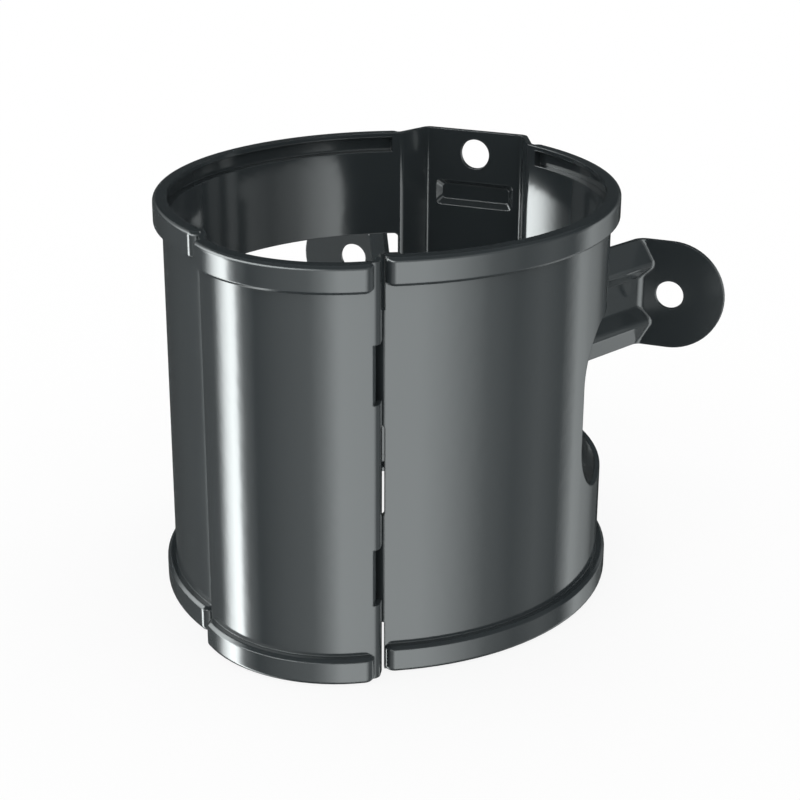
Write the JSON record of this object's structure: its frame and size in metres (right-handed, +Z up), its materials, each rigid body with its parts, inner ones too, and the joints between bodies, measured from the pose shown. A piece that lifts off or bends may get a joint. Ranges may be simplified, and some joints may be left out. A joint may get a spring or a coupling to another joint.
{
  "type": "downpipe bracket",
  "caption": "Painted steel bracket that clasps a round rainwater downpipe and stands it off a wall, with beaded rims, side windows, folded-out lugs and a hooked front.",
  "frame": {"origin": "on the downpipe's axis, at the band's mid height", "axes": "+Z up along the downpipe, +Y towards the wall, +X to the right of someone who faces the wall"},
  "size_m": [0.1032, 0.1297, 0.0792],
  "materials": {
    "painted_steel": "gloss anthracite coating"
  },
  "bodies": {
    "root": {"bracket": "painted_steel"}
  },
  "joints": []
}
